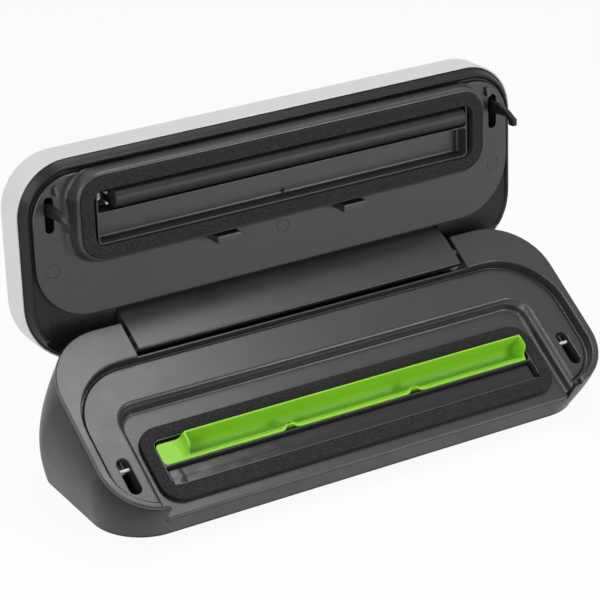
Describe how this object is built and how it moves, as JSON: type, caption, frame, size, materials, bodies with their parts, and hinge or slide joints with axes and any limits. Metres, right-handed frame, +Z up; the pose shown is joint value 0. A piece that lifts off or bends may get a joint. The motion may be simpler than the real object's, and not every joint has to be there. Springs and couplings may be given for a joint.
{
  "type": "vacuum sealer",
  "caption": "Countertop vacuum sealer with an open rear-hinged lid, foam-ringed seal chamber, lift-out drip tray and latching seal bar.",
  "frame": {"origin": "middle of the bounding box, at the counter that the feet stand on", "axes": "+X to the user's right, +Y away from the user towards the hinge side, +Z up"},
  "size_m": [0.3984, 0.1728, 0.2277],
  "materials": {
    "charcoal_plastic": "fine-grained moulded plastic, charcoal",
    "grey_plastic": "satin moulded plastic, warm dark grey",
    "white_plastic": "semi-gloss white moulded plastic",
    "green_plastic": "bright green moulded plastic",
    "foam": "closed-cell foam rubber, dark grey",
    "rubber": "moulded rubber",
    "slick_tape": "smooth non-stick coated cloth tape",
    "bar_ceramic": "heat-proof moulded bar",
    "ribbon_steel": "flat nickel-chrome ribbon",
    "brass": "turned brass",
    "steel": "plated steel",
    "black_plastic": "black moulded plastic",
    "clear_hose": "milky soft hose",
    "board_green": "circuit board",
    "winding": "varnished winding",
    "lens_plastic": "translucent lens",
    "button_plastic": "satin light grey plastic"
  },
  "bodies": {
    "base": {"lower_housing": "charcoal_plastic", "bottom_cover": "charcoal_plastic", "top_frame": "grey_plastic", "chamber_frame": "grey_plastic", "base_gasket": "foam", "heat_bar": "bar_ceramic", "heating_ribbon": "ribbon_steel", "seal_tape": "slick_tape", "ribbon_terminals": "brass", "hinge_brackets": "steel", "hinge_pins": "steel", "hinge_springs": "steel", "latch_catches": "steel", "lid_switches": "black_plastic", "pump_motor": "steel", "pump_body": "black_plastic", "pump_mounts": "rubber", "vacuum_hose": "clear_hose", "vacuum_port": "charcoal_plastic", "power_board": "board_green", "transformer": "winding", "power_inlet": "black_plastic", "base_screws": "steel", "rubber_feet": "rubber"},
    "lid": {"lid_shell": "white_plastic", "lid_liner": "grey_plastic", "shaft_posts": "grey_plastic", "lid_chamber": "grey_plastic", "lid_gasket": "foam", "hinge_block": "grey_plastic", "bag_stops": "grey_plastic", "hook_guides": "grey_plastic", "relief_valve": "rubber", "chamber_screws": "steel", "bar_prongs": "steel", "bar_springs": "steel", "control_board": "board_green", "control_panel": "grey_plastic", "indicator_lenses": "lens_plastic", "lid_screws": "steel", "block_screws": "steel"},
    "tray": {"drip_tray": "green_plastic"},
    "pin_left": {"switch_pin_left": "white_plastic"},
    "pin_right": {"switch_pin_right": "white_plastic"},
    "crank": {"pump_crank": "steel"},
    "latch": {"latch_shaft": "steel", "hook_left": "charcoal_plastic", "hook_right": "charcoal_plastic", "latch_lever": "white_plastic"},
    "bar": {"bar_holder": "black_plastic", "pressure_strip": "rubber"},
    "vacuum_button": {"vacuum_button": "button_plastic"},
    "seal_button": {"seal_button": "button_plastic"},
    "mode_button": {"mode_button": "button_plastic"}
  },
  "joints": [
    {"name": "lid_hinge", "type": "hinge", "parent": "base", "child": "lid", "pos_m": [0, 0.03061, 0.0954], "axis": [1, 0, 0], "range_deg": [0, 125.5]},
    {"name": "tray_lift", "type": "slide", "parent": "base", "child": "tray", "axis": [0, 0.5299, -0.848], "range_m": [-0.035, 0]},
    {"name": "pin_left_push", "type": "slide", "parent": "base", "child": "pin_left", "axis": [0, 0.5299, -0.848], "range_m": [0, 0.0015], "stiffness_N_per_m": 100, "springref_m": -0.002},
    {"name": "pin_right_push", "type": "slide", "parent": "base", "child": "pin_right", "axis": [0, 0.5299, -0.848], "range_m": [0, 0.0015], "stiffness_N_per_m": 100, "springref_m": -0.002},
    {"name": "pump_turn", "type": "hinge", "parent": "base", "child": "crank", "pos_m": [0, 0.02061, 0.032], "axis": [1, 0, 0], "continuous": true},
    {"name": "latch_turn", "type": "hinge", "parent": "lid", "child": "latch", "pos_m": [0, 0.06231, 0.19595], "axis": [1, 0, 0], "range_deg": [0, 8]},
    {"name": "bar_press", "type": "slide", "parent": "lid", "child": "bar", "axis": [0, 0.9981, -0.061], "range_m": [0, 0.002], "stiffness_N_per_m": 1500, "springref_m": -0.002},
    {"name": "vacuum_button_press", "type": "slide", "parent": "lid", "child": "vacuum_button", "axis": [0, -0.9981, 0.061], "range_m": [0, 0.001], "stiffness_N_per_m": 400, "springref_m": -0.001},
    {"name": "seal_button_press", "type": "slide", "parent": "lid", "child": "seal_button", "axis": [0, -0.9981, 0.061], "range_m": [0, 0.001], "stiffness_N_per_m": 400, "springref_m": -0.001},
    {"name": "mode_button_press", "type": "slide", "parent": "lid", "child": "mode_button", "axis": [0, -0.9981, 0.061], "range_m": [0, 0.001], "stiffness_N_per_m": 400, "springref_m": -0.001}
  ]
}
